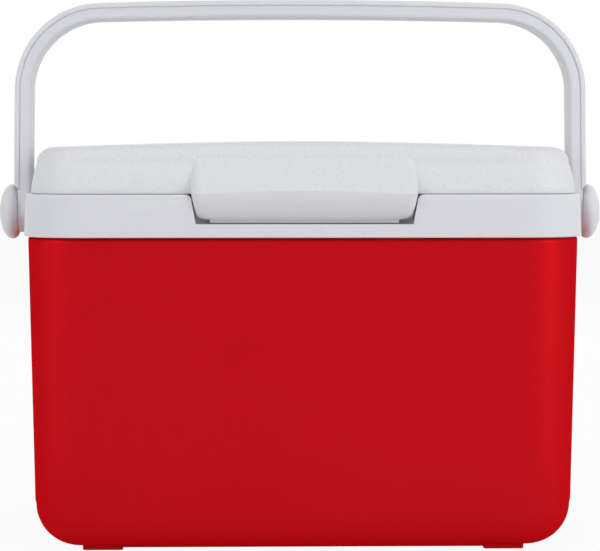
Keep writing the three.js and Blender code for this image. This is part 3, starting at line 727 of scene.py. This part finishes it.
def shape_eye(v, seat):
    """Rounds the web's end into the eye that turns behind the button, as thick as the eye is."""
    above = (v.co.z - PIVOT_Z) / (seat - PIVOT_Z)
    if above < 0:
        drop = min(1.0, (PIVOT_Z - v.co.z) / EYE_RADIUS)
        v.co.y *= max(0.05, math.sqrt(1 - drop**2)) * EYE_RADIUS / WEB_HALF
    elif above < 1:
        v.co.y *= 1 + (EYE_RADIUS / WEB_HALF - 1) * (1 - above) ** 2
    if above < 1.5:
        thick = EYE_OUTER - ARM_INNER - ARM_SPLAY
        out = abs(v.co.x) - ARM_INNER - ARM_SPLAY
        grow = max(0.0, min(1.0, (1.5 - above) / 0.5))
        v.co.x += math.copysign(max(0, out) * grow * (thick / WEB_THICK - 1), v.co.x)


def cap_radius(out):
    """Radius of a button's cap at a distance from its flat inner face, up to its widest ring."""
    short = (CAP_EDGE - min(CAP_EDGE, max(0.0, out))) / CAP_EDGE
    return CAP_NECK + (CAP_RADIUS - CAP_NECK) * math.sqrt(1 - short**2)


def bail():
    """A web with round eyes that turn on the buttons, and a rim outside it that ends above them."""
    seat = PIVOT_Z + CAP_RADIUS
    heights = [PIVOT_Z - EYE_RADIUS * math.cos(a) for a in quarter(12)]
    heights += [PIVOT_Z + up for up in (4, 8, 12)] + [seat + up for up in (1, 10, 25, 40)]
    web = strap(band(WEB_HALF, 0, WEB_THICK, 2.4, 0.5), heights)
    for v in web.verts:
        shape_eye(v, seat)
    heights = [PIVOT_Z + CAP_NECK, seat + 1, seat + 20, seat + 40]
    rim = strap(band(BAIL_HALF, ARM_THICK - RIM, ARM_THICK, 0.5, 1.1), heights)
    for v in rim.verts:
        if v.co.z < seat:
            v.co.z = PIVOT_Z + cap_radius(abs(v.co.x) - EYE_OUTER - CAP_GAP) + RIM_GAP
    join(web, rim)
    for sign in (-1, 1):
        start, end = sign * EYE_INNER, sign * (ARM_INNER + EYE_BACK_DEPTH)
        join(web, barrel(EYE_BACK_RADIUS, start, end, 0, PIVOT_Z, 0.5, 48))
    return web


def pivot_button(sign):
    """A domed cap on a barbed shank."""
    cap = EYE_OUTER + CAP_GAP
    widest = cap + CAP_EDGE
    outline = SHANK + [(SHANK[-1][0], cap - 0.3), (5.9, cap), (10.8, cap)]
    outline += [(cap_radius(out), cap + out) for out in CAP_ROWS]
    outline += [(CAP_RADIUS * math.cos(a), widest + CAP_DOME * math.sin(a))
                for a in quarter(16)[1:-1]]
    outline.append((0, widest + CAP_DOME))
    bm = bmesh.new()
    edges = chain(bm, [(x, 0, radius) for radius, x in outline])
    spin(bm, edges, (0, 0, 0), (1, 0, 0), math.tau, 56)
    bmesh.ops.remove_doubles(bm, verts=bm.verts, dist=NEAR)
    bmesh.ops.translate(bm, verts=bm.verts, vec=(0, 0, PIVOT_Z))
    if sign < 0:
        bmesh.ops.scale(bm, vec=(-1, 1, 1), verts=bm.verts)
    bmesh.ops.recalc_face_normals(bm, faces=bm.faces)
    return bm


# The pieces

lip = join(pull_lip(), lip_rib())
piece("red_shell", red_shell(), "tub", ["outer_shell"], red_plastic)
piece("food_liner", liner(), "tub", ["inner_liner"], liner_plastic, 0.4, 2)
piece("pale_collar", collar(), "tub", ["collar"], pale_plastic, 0.5)
piece("grained_lid", lid_cover(), "lid", ["lid_cover"], grained_plastic_and_crease_shade, 0.5)
piece("pull_lip", lip, "lid", ["lid_cover"], pale_plastic, 0.3, 2)
piece("lid_tray", lid_panel(), "lid", ["lid_panel"], liner_plastic)
piece("carrying_bail", bail(), "bail", ["bail_handle"], pale_plastic, 0.2, 2)
for side, sign in (("left", -1), ("right", 1)):
    node = f"pivot_button_{side}"
    piece(f"{side}_button", pivot_button(sign), "tub", [node], pale_plastic, 0.3, 2)
    x = sign * HINGE_X
    pin = barrel(PIN_RADIUS, x - PIN_HALF, x + PIN_HALF, HINGE_Y, HINGE_Z, PIN_EDGE)
    piece(f"{side}_pin", pin, "tub", [f"hinge_pin_{side}"], steel)
for node in ("body_foam", "lid_foam"):
    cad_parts[node].data.materials.clear()
    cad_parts[node].data.materials.append(foam)


# Camera, lights and floor. Places are in metres from here on.

SENSOR = 36  # millimetres, as the lens is
DISTANCE, PIXEL, PHOTO_WIDTH = 1300, 0.594, 600  # millimetres, millimetres at mid depth, pixels
CAMERA_TURN, CAMERA_LIFT = -1.25, 3.28  # degrees
CAMERA_AIM = Vector((-0.0003, 0, 0.1495))
LAMP_AIM = Vector((0, 0, 0.15))

view = bpy.data.cameras.new("view")
view.sensor_fit = "HORIZONTAL"
view.sensor_width = SENSOR
view.lens = SENSOR * DISTANCE / PIXEL / PHOTO_WIDTH
camera = bpy.data.objects.new("view", view)
turn, lift = math.radians(CAMERA_TURN), math.radians(CAMERA_LIFT)
back = Vector((math.sin(turn) * math.cos(lift), -math.cos(turn) * math.cos(lift), math.sin(lift)))
camera.location = CAMERA_AIM + back * DISTANCE * MM
camera.rotation_mode = "QUATERNION"
camera.rotation_quaternion = (-back).to_track_quat("-Z", "Y")
bpy.context.scene.collection.objects.link(camera)
bpy.context.scene.camera = camera
bpy.context.scene.view_settings.view_transform = "Standard"


def softbox(name, place, width, height, power):
    light = bpy.data.lights.new(name, "AREA")
    light.shape = "RECTANGLE"
    light.size, light.size_y, light.energy = width, height, power
    made = bpy.data.objects.new(name, light)
    made.location = place
    made.rotation_mode = "QUATERNION"
    made.rotation_quaternion = (LAMP_AIM - Vector(place)).to_track_quat("-Z", "Y")
    bpy.context.scene.collection.objects.link(made)


softbox("high softbox", (0, -0.5, 1.7), 1.4, 0.5, 5.0)
softbox("back softbox", (0, 1.6, 1.0), 1.6, 1.0, 6.4)
softbox("left strip", (-1.17, -0.8, 0.65), 0.4, 1.05, 6.6)
softbox("right strip", (1.15, -0.83, 0.65), 0.45, 1.05, 9.4)


def seen_white(nodes, lit, kind, share=1.0):
    """Plain white where the camera, a reflection or a clear piece looks, lit for other light."""
    by_camera = nodes.node("ShaderNodeLightPath", output="Is Camera Ray")
    seen = by_camera.greatest(by_camera.beside("Is Glossy Ray"))
    seen = seen.greatest(by_camera.beside("Is Transmission Ray"))
    white = nodes.node(kind, sockets={"Color": (1, 1, 1, 1), "Strength": 1.0})
    return nodes.node("ShaderNodeMixShader", sockets={0: share * seen, 1: lit, 2: white})


studio = bpy.data.worlds.new("studio")
nodes = Nodes(studio)
grey = nodes.node("ShaderNodeBackground", sockets={"Color": (0.92, 0.96, 1, 1), "Strength": 0.38})
surface = seen_white(nodes, grey, "ShaderNodeBackground")
nodes.node("ShaderNodeOutputWorld", sockets={"Surface": surface})
bpy.context.scene.world = studio

bm = bmesh.new()
bmesh.ops.create_grid(bm, x_segments=1, y_segments=1, size=6)
mesh = bpy.data.meshes.new("floor")
bm.to_mesh(mesh)
bm.free()
floor = bpy.data.objects.new("floor", mesh)
bpy.context.scene.collection.objects.link(floor)
ground = bpy.data.materials.new("white floor")
nodes = Nodes(ground)
matt = nodes.node("ShaderNodeBsdfDiffuse", sockets={"Color": (0.86, 0.87, 0.88, 1)})
surface = seen_white(nodes, matt, "ShaderNodeEmission", share=0.93)
nodes.node("ShaderNodeOutputMaterial", sockets={"Surface": surface})
mesh.materials.append(ground)
